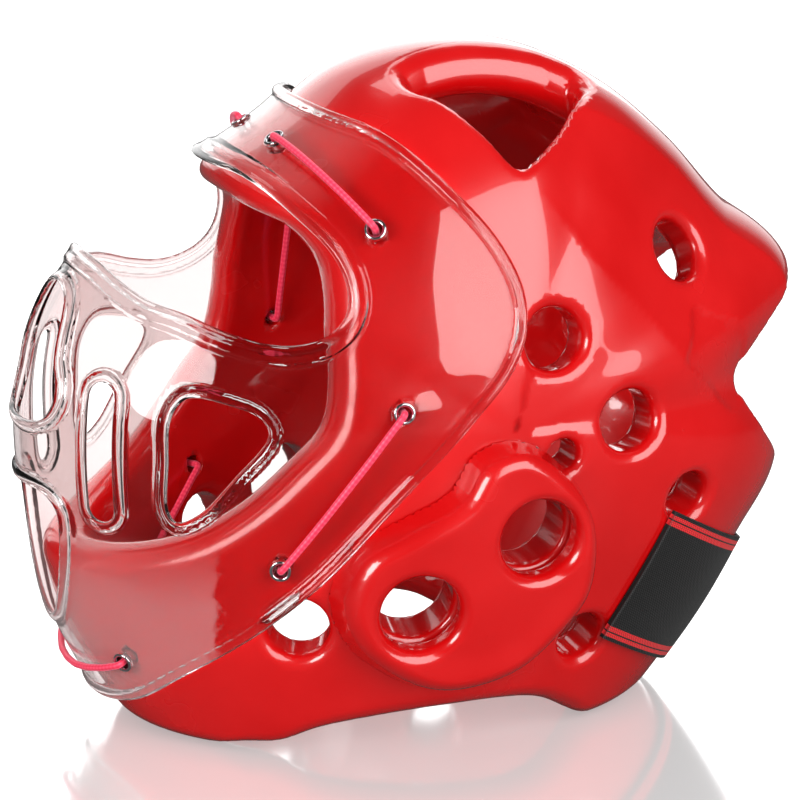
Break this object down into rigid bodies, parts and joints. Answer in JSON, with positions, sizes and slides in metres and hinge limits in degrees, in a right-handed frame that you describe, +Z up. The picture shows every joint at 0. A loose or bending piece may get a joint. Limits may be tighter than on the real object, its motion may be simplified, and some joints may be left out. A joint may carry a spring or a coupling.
{
  "type": "taekwondo headgear with face mask",
  "caption": "Padded foam head guard with vent holes and raised ear pads, a clear face mask laced on through metal eyelets and a broad closure strap at the nape.",
  "frame": {"origin": "middle of what the guard stands on, under the middle of its length and width", "axes": "+Z up, the face looks along -Y, the wearer's left is +X"},
  "size_m": [0.1992, 0.276, 0.2327],
  "materials": {
    "foam": "gloss",
    "clear_mask": "clear gloss",
    "lace": "braided elastic",
    "webbing": "woven elastic",
    "eyelet_metal": "polished"
  },
  "bodies": {
    "root": {"shell": "foam", "ear_pad_left": "foam", "ear_pad_right": "foam", "face_mask": "clear_mask", "lace": "lace", "closure_strap": "webbing", "eyelet_brow_left": "eyelet_metal", "eyelet_brow_right": "eyelet_metal", "eyelet_temple_left": "eyelet_metal", "eyelet_temple_right": "eyelet_metal", "eyelet_cheek_left": "eyelet_metal", "eyelet_cheek_right": "eyelet_metal", "eyelet_jaw_left": "eyelet_metal", "eyelet_jaw_right": "eyelet_metal", "eyelet_chin_left": "eyelet_metal", "eyelet_chin_right": "eyelet_metal"}
  },
  "joints": []
}
